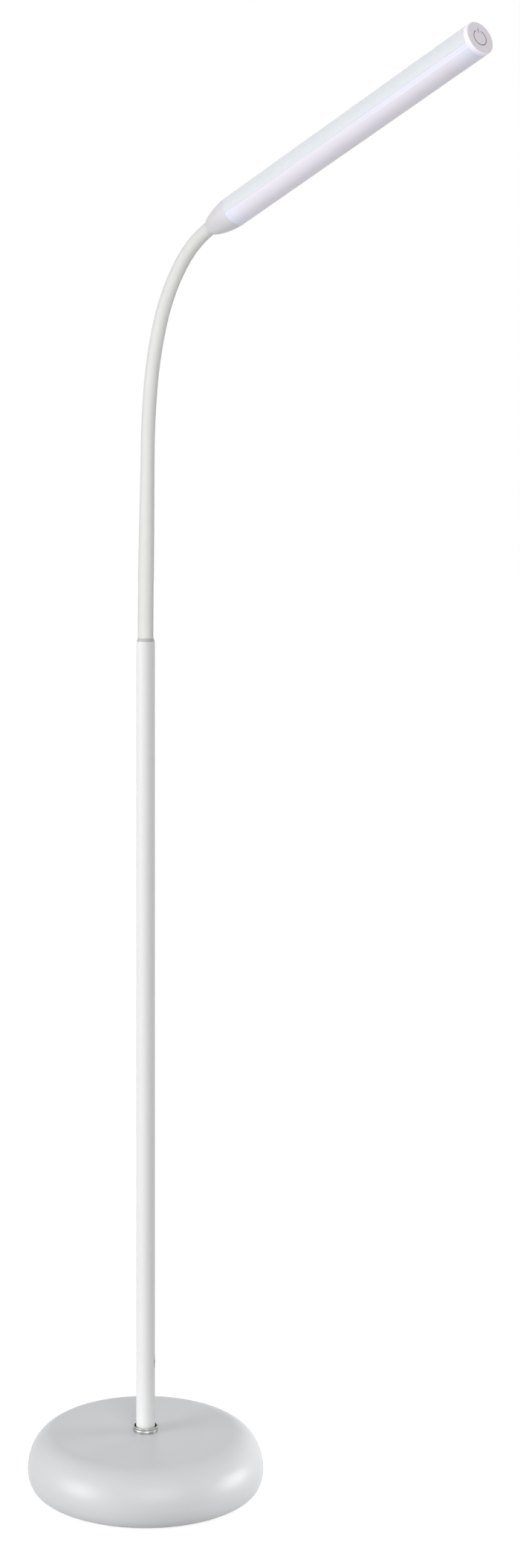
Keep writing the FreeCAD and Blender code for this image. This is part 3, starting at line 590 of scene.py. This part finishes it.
def neck_tube(name, begin, end, outer, bore, ring_step, sides):
    """Hollow tube along the neck between two distances; `outer` is a function of the distance."""
    across = NECK_ARCS[-1][2]
    rings = max(2, math.ceil((end - begin) / ring_step)) + 1
    distances = [begin + (end - begin) * index / (rings - 1) for index in range(rings)]
    path = [(distance, outer) for distance in distances] + [(distance, None) for distance in distances[::-1]]
    points = []
    for distance, size in path:
        point, way = neck_place(distance)
        side = way.cross(across)
        radius = size(distance) if size else bore
        for index in range(sides):
            angle = 2 * math.pi * index / sides
            points.append(point + (across * math.cos(angle) + side * math.sin(angle)) * radius)
    faces = []
    for row in range(len(path)):
        below = row * sides
        above = (row + 1) % len(path) * sides
        for index in range(sides):
            beside = (index + 1) % sides
            faces.append((below + index, below + beside, above + beside, above + index))
    piece = new_piece(name, points, faces)
    piece.modifiers["even_shading"].keep_sharp = True
    rim_rows = {0, rings - 1, rings, 2 * rings - 1}
    for edge in piece.data.edges:
        edge.use_edge_sharp = {vertex // sides for vertex in edge.vertices} <= rim_rows
    rest = piece.data.attributes.new("rest_place", "FLOAT_VECTOR", "POINT")
    rest.data.foreach_set("vector", [value for vertex in piece.data.vertices for value in vertex.co])
    return piece


def rest_place(wire):
    """Place on the unbent neck, so that its finish bends with it."""
    return wire.node("ShaderNodeAttribute", {"attribute_name": "rest_place"}, output="Vector")


def paint_sleeve(wire):
    where = rest_place(wire)
    cloud = speckle(wire, 0.03, 3.0, where)
    grain = speckle(wire, 0.0008, 2.0, where)
    shine = step(wire, speckle(wire, 0.012, 5.0, where), 0.52, 0.70)
    return {
        "Base Color": tint(wire, cloud, SLEEVE_WHITE, SLEEVE_DEEP),
        "Roughness": 0.62 + grain * 0.06 - shine * 0.07,
        "Normal": relief(wire, grain, 0.000008),
    }


def paint_hose(wire):
    where = rest_place(wire)
    patch = speckle(wire, 0.003, 4.0, where)
    return {
        "Base Color": tint(wire, patch, HOSE_PALE, HOSE_DARK),
        "Roughness": 0.30 + patch * 0.14,
        "Normal": relief(wire, speckle(wire, 0.0004, 3.0, where), 0.00001),
    }


sleeve_finish = finish("neck_skin", paint_sleeve, Specular_IOR_Level=0.30)
hose_finish = finish("wound_steel", paint_hose, Metallic=1.0)
neck_pieces = []
for number, joint in enumerate(NECK_JOINTS, start=1):
    first = number == 1
    last = number == len(NECK_JOINTS)
    pivot = LINK_LENGTH * number
    middle_before = 0.0 if first else pivot - LINK_LENGTH / 2
    middle_after = NECK_LENGTH if last else pivot + LINK_LENGTH / 2
    reach = neck_place(pivot)[1] * BEND_REACH
    layers = [
        neck_tube("sleeve_%d" % number, middle_before - SLEEVE_FOOT * first,
                  middle_after + SLEEVE_ENTRY * last, sleeve_radius, SLEEVE_BORE, RING_STEP, SLEEVE_SIDES),
        neck_tube("hose_%d" % number, middle_before - FERRULE_DEPTH * first,
                  middle_after + (SLEEVE_ENTRY + FERRULE_DEPTH) * last,
                  lambda distance: HOSE_RADIUS - groove(distance), HOSE_BORE, HOSE_PITCH / 4, HOSE_SIDES),
    ]
    for layer, material, slot in zip(layers, (sleeve_finish, hose_finish), ("neck_skin", "wound_steel")):
        wear([layer], material)
        pivots[number] - reach
        pivots[number] + reach
        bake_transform(layer)
        neck_pieces.append(layer)
    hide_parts("neck_sleeve_%d" % number)
    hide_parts("neck_hose_%d" % number)
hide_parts("neck_sleeve_%d" % len(NECK_ARCS))
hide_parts("neck_hose_%d" % len(NECK_ARCS))


# ------------------------------------------------------------------ head socket
# A moulded socket swells from the neck to the head's full width in one long curve.  The neck
# enters its nose, and its spigot plugs into the casing, with a fine parting line where they meet.
HEAD_RADIUS = 0.0154
SOCKET_LENGTH = 0.036
NOSE_RADIUS = 0.0092
PRESS_PLAY = 0.00005
NOSE_ROUNDING = 0.0008
PARTING = 0.00022                # eased edge on each side of a parting line
SPIGOT_RADIUS = 0.01355
SPIGOT_BORE = 0.01215
SPIGOT_LENGTH = 0.009
SOCKET_CAVITY = (0.00995, 0.029)
FERRULE_SEAT_RADIUS = 0.00655
SOCKET_WHITE = (0.645, 0.634, 0.671)
SOCKET_DEEP = (0.627, 0.615, 0.653)

across = Vector((0, 0, 1)).cross(head_along).normalized()
upward = head_along.cross(across)
HEAD = Matrix((head_along, across, upward)).transposed().to_4x4()
HEAD.translation = head_start
LATHE_IN_HEAD = HEAD @ Matrix.Rotation(math.radians(90), 4, "Y")


def from_head_start(wire, way):
    """Distance from the head's start in one direction, in metres."""
    span = wire.node("ShaderNodeVectorMath", {"operation": "SUBTRACT"},
                     {"Vector": here(wire), "Vector_001": head_start})
    return wire.node("ShaderNodeVectorMath", {"operation": "DOT_PRODUCT"},
                     {"Vector": span, "Vector_001": way}, "Value")


def swell(distance):
    """Radius of the socket's curve, which runs out level at the casing."""
    drop = HEAD_RADIUS - NOSE_RADIUS
    bend = (SOCKET_LENGTH ** 2 + drop ** 2) / (2 * drop)
    return HEAD_RADIUS - bend + math.sqrt(bend ** 2 - (SOCKET_LENGTH - distance) ** 2)


def paint_socket(wire):
    cloud = speckle(wire, 0.02, 3.0)
    grain = speckle(wire, 0.0006, 3.0)
    return {
        "Base Color": tint(wire, cloud, SOCKET_WHITE, SOCKET_DEEP),
        "Roughness": 0.44 + cloud * 0.08,
        "Normal": relief(wire, grain, 0.000015),
    }


curve_steps = 24
curve = [(swell(SOCKET_LENGTH * index / curve_steps), SOCKET_LENGTH * index / curve_steps, 0)
         for index in range(2, curve_steps)]
socket_outline = eased([
    (SLEEVE_RADIUS + PRESS_PLAY, 0, 0.0002),
    (NOSE_RADIUS, 0, NOSE_ROUNDING)] + curve + [
    (HEAD_RADIUS, SOCKET_LENGTH, PARTING),
    (SPIGOT_RADIUS, SOCKET_LENGTH, 0),
    (SPIGOT_RADIUS, SOCKET_LENGTH + SPIGOT_LENGTH, 0.0003),
    (SPIGOT_BORE, SOCKET_LENGTH + SPIGOT_LENGTH, 0),
    (SPIGOT_BORE, SOCKET_LENGTH, 0),
    (SOCKET_CAVITY[0], SOCKET_CAVITY[1], 0),
    (FERRULE_SEAT_RADIUS, SOCKET_CAVITY[1], 0),
    (FERRULE_SEAT_RADIUS, SLEEVE_ENTRY, 0),
    (SLEEVE_RADIUS + PRESS_PLAY, SLEEVE_ENTRY, 0),
])
socket = turned("socket", socket_outline, LATHE_IN_HEAD)
wear([socket], finish("socket_plastic", paint_socket, Specular_IOR_Level=0.4))
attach(socket, "head")
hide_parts("head_socket")


# ------------------------------------------------------------------ head casing
# The upper shell of the head is moulded in glossy cool white.  It reaches a little below the
# middle, and a rail inside each edge carries the heat spreader.
CASING_WALL = 0.0018
CAP_LENGTH = 0.004
CAP_START = HEAD_LENGTH - CAP_LENGTH
SEAM_DROP = 0.0039
RAIL_REACH = 0.0019
RAIL_HEIGHT = 0.0017
RAIL_END_GAP = 0.001
RAIL_START = SOCKET_LENGTH + SPIGOT_LENGTH + RAIL_END_GAP
RAIL_END = CAP_START - SPIGOT_LENGTH - RAIL_END_GAP
CASING_WHITE = (0.673, 0.699, 0.730)
CASING_DEEP = (0.660, 0.686, 0.718)
CASING_EDGE_HIGHLIGHT = (0.769, 0.791, 0.818)
EDGE_HIGHLIGHT_FADE = (0.0003, 0.0011)     # heights over the seam at which the painted highlight on its edge fades out
ARC_STEPS = 56


def shell_outline(wall, first, last, inset):
    """Closed outline of part of the head's wall between two angles, drawn in by `inset`."""
    outer = HEAD_RADIUS - inset
    inner = HEAD_RADIUS - wall + inset
    angles = [first + (last - first) * index / ARC_STEPS for index in range(ARC_STEPS + 1)]
    trim = (PARTING + inset) / HEAD_RADIUS
    rim = [min(max(angle, first + trim), last - trim) for angle in angles]
    edge = inset / HEAD_RADIUS
    rounded = outer - PARTING
    points = [(outer * math.cos(angle), outer * math.sin(angle)) for angle in rim]
    points.append((rounded * math.cos(last - edge), rounded * math.sin(last - edge)))
    points.append((inner * math.cos(last - edge), inner * math.sin(last - edge)))
    points += [(inner * math.cos(angle), inner * math.sin(angle)) for angle in rim[-2:0:-1]]
    points.append((inner * math.cos(first + edge), inner * math.sin(first + edge)))
    points.append((rounded * math.cos(first + edge), rounded * math.sin(first + edge)))
    return points


def head_shell(name, wall, first, last):
    """Part of the head's wall, from the socket to the cap, with eased edges all round."""
    stations = [(SOCKET_LENGTH, PARTING), (SOCKET_LENGTH + PARTING / 3, PARTING / 3),
                (SOCKET_LENGTH + PARTING, 0.0)]
    bays = 12
    length = CAP_START - SOCKET_LENGTH
    stations += [(SOCKET_LENGTH + length * index / bays, 0.0) for index in range(1, bays)]
    stations += [(CAP_START - PARTING, 0.0), (CAP_START - PARTING / 3, PARTING / 3), (CAP_START, PARTING)]
    points = []
    faces = []
    for along, inset in stations:
        points += [(along, side, height) for side, height in shell_outline(wall, first, last, inset)]
    count = len(points) // len(stations)
    for row in range(len(stations) - 1):
        for index in range(count):
            beside = (index + 1) % count
            faces.append((row * count + index, row * count + beside,
                          (row + 1) * count + beside, (row + 1) * count + index))
    faces.append(tuple(range(count)))
    faces.append(tuple(range(len(points) - count, len(points))))
    return new_piece(name, points, faces, HEAD)


def long_bars(name, low, high):
    """The pair of bars inside the head's wall between two heights, for a rail or a lip."""
    inner = HEAD_RADIUS - CASING_WALL - RAIL_REACH
    points = []
    faces = []
    for side in (-1, 1):
        for along in (RAIL_START, RAIL_END):
            for height in (low, high):
                wall = math.sqrt((HEAD_RADIUS - CASING_WALL / 2) ** 2 - height ** 2)
                points += [(along, side * inner, height), (along, side * wall, height)]
        first = len(points) - 8
        faces += [tuple(first + corner for corner in face) for face in
                  ((0, 1, 3, 2), (4, 5, 7, 6), (0, 1, 5, 4), (2, 3, 7, 6), (0, 2, 6, 4), (1, 3, 7, 5))]
    piece = new_piece(name, points, faces, HEAD)
    piece.data.shade_flat()
    return piece


def paint_casing(wire):
    cloud = speckle(wire, 0.04, 3.0)
    sink = speckle(wire, 0.018, 1.0)
    rub = step(wire, speckle(wire, 0.006, 6.0), 0.60, 0.80)
    above_seam = from_head_start(wire, upward) + SEAM_DROP
    # a pale band just over the seam is a painted highlight, for the light its eased edge catches
    edge = 1 - step(wire, above_seam, *EDGE_HIGHLIGHT_FADE)
    return {
        "Base Color": tint(wire, edge, tint(wire, cloud, CASING_WHITE, CASING_DEEP), CASING_EDGE_HIGHLIGHT),
        "Roughness": 0.24 + rub * 0.10,
        "Normal": relief(wire, sink, 0.00002),
    }


seam_angle = math.asin(SEAM_DROP / HEAD_RADIUS)
casing = head_shell("casing", CASING_WALL, -seam_angle, math.pi + seam_angle)
rails = long_bars("casing_rails", -SEAM_DROP, RAIL_HEIGHT - SEAM_DROP)
casing_finish = finish("casing_plastic", paint_casing, Specular_IOR_Level=0.45)
for piece in (casing, rails):
    wear([piece], casing_finish)
    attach(piece, "head")
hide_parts("head_casing")


# ------------------------------------------------------------------ head diffuser
# The lower shell is opal plastic that spreads the light of the strip above it.  It is a touch
# thinner and clips under the casing's rails.  It looks bluer past the strip's two ends, and along
# the seam, where the lip behind it ends in a pale line.
DIFFUSER_WALL = 0.0016
LIP_HEIGHT = 0.0013
OPAL_LILAC = (0.752, 0.726, 0.799)
OPAL_DEEP = (0.735, 0.710, 0.783)
OPAL_END = (0.724, 0.738, 0.865)
OPAL_LINE = (0.880, 0.880, 0.920)
OPAL_SEAM_SHADE = (0.560, 0.560, 0.640)
END_GLOW_LENGTH = 0.030
END_GLOW_START = 0.004
LIP_SHADE_HEIGHT = 0.0044
LIP_SHADE_BLUR = 0.0006
LIP_SHADE_FROM = (0.18, 0.32)    # along the head, where the lip starts to show
LIP_LINE_WIDTH = 0.0014
SEAM_SHADE_FADE = (0.0002, 0.0007)


def paint_opal(wire):
    along = from_head_start(wire, head_along)
    below_seam = -SEAM_DROP - from_head_start(wire, upward)
    cloud = speckle(wire, 0.05, 3.0)
    near_socket = 1 - step(wire, along, SOCKET_LENGTH + END_GLOW_START, SOCKET_LENGTH + END_GLOW_LENGTH)
    near_cap = step(wire, along, CAP_START - END_GLOW_LENGTH, CAP_START - END_GLOW_START)
    outer_half = step(wire, along, *LIP_SHADE_FROM)
    past_lip = step(wire, below_seam, LIP_SHADE_HEIGHT - LIP_SHADE_BLUR, LIP_SHADE_HEIGHT + LIP_SHADE_BLUR)
    lip = (1 - past_lip) * outer_half
    line = step(wire, below_seam, LIP_SHADE_HEIGHT - LIP_LINE_WIDTH, LIP_SHADE_HEIGHT) * lip
    # a dark line just under the seam is painted shade, where the casing's edge shadows the diffuser's top
    seam = 1 - step(wire, below_seam, *SEAM_SHADE_FADE)
    body = tint(wire, cloud, OPAL_LILAC, OPAL_DEEP)
    bluish = tint(wire, wire.sum("MAXIMUM", (near_socket + near_cap) * 0.75, lip * 0.6), body, OPAL_END)
    return {
        "Base Color": tint(wire, seam * 0.6, tint(wire, line * 0.7, bluish, OPAL_LINE), OPAL_SEAM_SHADE),
        "Roughness": 0.38 + cloud * 0.06,
        "Normal": relief(wire, speckle(wire, 0.0007, 2.0), 0.00001),
    }


diffuser = head_shell("diffuser", DIFFUSER_WALL, math.pi + seam_angle, 2 * math.pi - seam_angle)
lips = long_bars("diffuser_lips", -SEAM_DROP - LIP_HEIGHT, -SEAM_DROP)
opal_finish = finish("opal_plastic", paint_opal, Specular_IOR_Level=0.40, Subsurface_Weight=0.20,
                     Subsurface_Radius=(1.0, 0.95, 1.0), Subsurface_Scale=0.0004)
for piece in (diffuser, lips):
    wear([piece], opal_finish)
    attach(piece, "head")
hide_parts("head_diffuser")


# ------------------------------------------------------------------ end cap and touch switch
# A bevelled cap closes the head.  A flat plate lies flush in it, senses a finger and carries a
# printed power mark, upright on the head.
CAP_BEVEL = 0.0010
CAP_FLOOR = 0.0016
TOUCH_RIM = 0.0014
TOUCH_PLAY = 0.00008
CAP_WHITE = (0.865, 0.838, 0.934)
CAP_DEEP = (0.843, 0.816, 0.915)
FACE_PINK = (0.809, 0.761, 0.819)
FACE_DEEP = (0.790, 0.742, 0.801)
MARK_GREY = (0.120, 0.105, 0.120)
MARK_PALE = (0.150, 0.132, 0.150)
MARK_RADIUS = 0.0070
MARK_LINE = 0.0008
MARK_GAP = math.radians(29)
MARK_TICK = (0.0050, 0.0085)
MARK_THICKNESS = 0.00003


def grained(first, second, roughness, size):
    """Painter for a moulded face: two near colours in clouds over a fine grain."""
    def paint(wire):
        cloud = speckle(wire, 0.012, 3.0)
        return {
            "Base Color": tint(wire, cloud, first, second),
            "Roughness": roughness + cloud * 0.08,
            "Normal": relief(wire, speckle(wire, size, 3.0), 0.000015),
        }
    return paint


cap_inside = HEAD_LENGTH - TOUCH_PLATE_THICKNESS - CAP_FLOOR
face_edge = HEAD_RADIUS - TOUCH_RIM
face_back = HEAD_LENGTH - TOUCH_PLATE_THICKNESS
cap_outline = eased([
    (SPIGOT_BORE, CAP_START - SPIGOT_LENGTH, 0),
    (SPIGOT_RADIUS, CAP_START - SPIGOT_LENGTH, 0.0003),
    (SPIGOT_RADIUS, CAP_START, 0),
    (HEAD_RADIUS, CAP_START, PARTING),
    (HEAD_RADIUS, HEAD_LENGTH - CAP_BEVEL, 0.0004),
    (HEAD_RADIUS - CAP_BEVEL, HEAD_LENGTH, 0.0003),
    (face_edge, HEAD_LENGTH, 0.00012),
    (face_edge, face_back, 0),
    (0, face_back, 0),
    (0, cap_inside, 0),
    (SPIGOT_BORE, cap_inside, 0),
])
cap = turned("cap", cap_outline, LATHE_IN_HEAD)
touch_edge = face_edge - TOUCH_PLAY
touch_outline = eased([(0, face_back, 0), (touch_edge, face_back, 0),
                       (touch_edge, HEAD_LENGTH, 0.00012), (0, HEAD_LENGTH, 0)])
touch_face = turned("touch_face", touch_outline, LATHE_IN_HEAD)


def mark_piece():
    """Printed power mark: an open ring with rounded ends, and an upright tick in its gap."""
    half_line = MARK_LINE / 2
    ring = []
    steps = 72
    start = math.radians(90) + MARK_GAP
    sweep = 2 * math.pi - 2 * MARK_GAP
    angles = [start + sweep * index / steps for index in range(steps + 1)]
    for radius, order in ((MARK_RADIUS + half_line, angles), (MARK_RADIUS - half_line, angles[::-1])):
        ring += [(radius * math.cos(angle), radius * math.sin(angle)) for angle in order]
        middle = order[-1]
        centre = (MARK_RADIUS * math.cos(middle), MARK_RADIUS * math.sin(middle))
        for index in range(1, 8):
            bend = middle + (0 if radius > MARK_RADIUS else math.pi) + math.pi * index / 8
            ring.append((centre[0] + half_line * math.cos(bend), centre[1] + half_line * math.sin(bend)))
    tick = []
    for height, first in ((MARK_TICK[1], 0), (MARK_TICK[0], math.pi)):
        for index in range(9):
            bend = first + math.pi * index / 8
            tick.append((half_line * math.cos(bend), height + half_line * math.sin(bend)))
    points = []
    faces = []
    for outline in (ring, tick):
        first = len(points)
        count = len(outline)
        for along in (HEAD_LENGTH, HEAD_LENGTH + MARK_THICKNESS):
            points += [(along, side, height) for side, height in outline]
        faces.append(tuple(first + index for index in range(count)))
        faces.append(tuple(first + count + index for index in range(count)))
        for index in range(count):
            beside = (index + 1) % count
            faces.append((first + index, first + beside, first + count + beside, first + count + index))
    piece = new_piece("power_mark", points, faces, HEAD)
    piece.data.shade_flat()
    return piece


power_mark = mark_piece()
wear([cap], finish("cap_plastic", grained(CAP_WHITE, CAP_DEEP, 0.30, 0.0008), Specular_IOR_Level=0.45))
wear([touch_face], finish("touch_face", grained(FACE_PINK, FACE_DEEP, 0.40, 0.0004)))
wear([power_mark], finish("mark_print", grained(MARK_GREY, MARK_PALE, 0.50, 0.0003)))
for piece in (cap, touch_face, power_mark):
    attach(piece, "head")
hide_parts("end_cap")
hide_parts("touch_plate")


# ------------------------------------------------------------------ light source and electronics
# Inside the head, an aluminium strip slides in on the rails and takes the heat of the LED board
# below it.  The driver stands above on posts, and two wires run on to the touch circuit.
SPREADER_PALE = (0.78, 0.78, 0.79)
SPREADER_DARK = (0.64, 0.64, 0.66)
BOARD_WHITE = (0.78, 0.78, 0.75)
BOARD_CREAM = (0.70, 0.70, 0.66)
PHOSPHOR = (0.80, 0.66, 0.20)
PHOSPHOR_DEEP = (0.72, 0.56, 0.14)
BOARD_GREEN = (0.030, 0.145, 0.060)
BOARD_DARK = (0.018, 0.095, 0.040)
PART_BLACK = (0.040, 0.040, 0.045)
PART_GREY = (0.085, 0.085, 0.090)
TERMINAL_WHITE = (0.66, 0.66, 0.62)
TERMINAL_DEEP = (0.58, 0.58, 0.54)
COPPER_BRIGHT = (0.78, 0.45, 0.28)
COPPER_DULL = (0.58, 0.32, 0.20)

wear(["heat_spreader"],
     finish("spreader_metal", mottled(SPREADER_PALE, SPREADER_DARK, 0.006, 0.36, 0.00002), Metallic=1.0))
wear(["led_board"], finish("led_board", mottled(BOARD_WHITE, BOARD_CREAM, 0.005, 0.5, 0.00002)))
wear(["led_chips"], finish("led_phosphor", mottled(PHOSPHOR, PHOSPHOR_DEEP, 0.001, 0.35, 0.00002)))
wear(["driver_board", "touch_board"],
     finish("board", mottled(BOARD_GREEN, BOARD_DARK, 0.003, 0.35, 0.00003)))
wear(["driver_parts", "touch_leads"],
     finish("electronics", mottled(PART_BLACK, PART_GREY, 0.002, 0.45, 0.00002)))
wear(["terminal_block", "board_spacers"],
     finish("terminal_plastic", mottled(TERMINAL_WHITE, TERMINAL_DEEP, 0.003, 0.48, 0.00002)))
wear(["touch_electrode"],
     finish("electrode_metal", mottled(COPPER_BRIGHT, COPPER_DULL, 0.002, 0.30, 0.00001), Metallic=1.0))


# ------------------------------------------------------------------ lamps
# A wide soft light stands low at the left, like a tall window.  Others fill in as white cards do,
# from the front and from behind.  One more at the right lights the base alone, and one from below
# lights the neck and the head alone.
base_pieces = [frame["nodes"]["base_shell"], frame["nodes"]["base_pad"]]
head_pieces = [socket, casing, diffuser, cap, touch_face, power_mark]
BEHIND = 120                     # degrees; lamps past it make no bright spot on the gloss
LAMPS = {                        # degrees right of the camera, degrees up, strength, spread, pieces lit
    "window": (-66, 10, 2.04, 36, None),
    "card_behind": (150, 6, 1.10, 36, None),
    "card_before": (12, 27, 1.02, 36, None),
    "card_right_of_base": (95, 4, 2.45, 36, base_pieces),
    "card_under_head": (0, -45, 1.40, 36, neck_pieces + head_pieces),
}

for lamp_name, (heading, height, strength, spread, lit) in LAMPS.items():
    lamp = bpy.data.objects.new(lamp_name, bpy.data.lights.new(lamp_name, "SUN"))
    lamp.data.energy = strength
    lamp.data.angle = math.radians(spread)
    lamp.rotation_euler = (math.radians(90 - height), 0, math.radians(heading))
    lamp.visible_glossy = abs(heading) < BEHIND
    bpy.context.scene.collection.objects.link(lamp)
    if lit:
        near = bpy.data.collections.new(lamp_name + "_lights")
        for piece in lit:
            near.objects.link(piece)
        lamp.light_linking.receiver_collection = near
        if height < 0:           # this light comes up through the floor, so only these pieces block it
            lamp.light_linking.blocker_collection = near
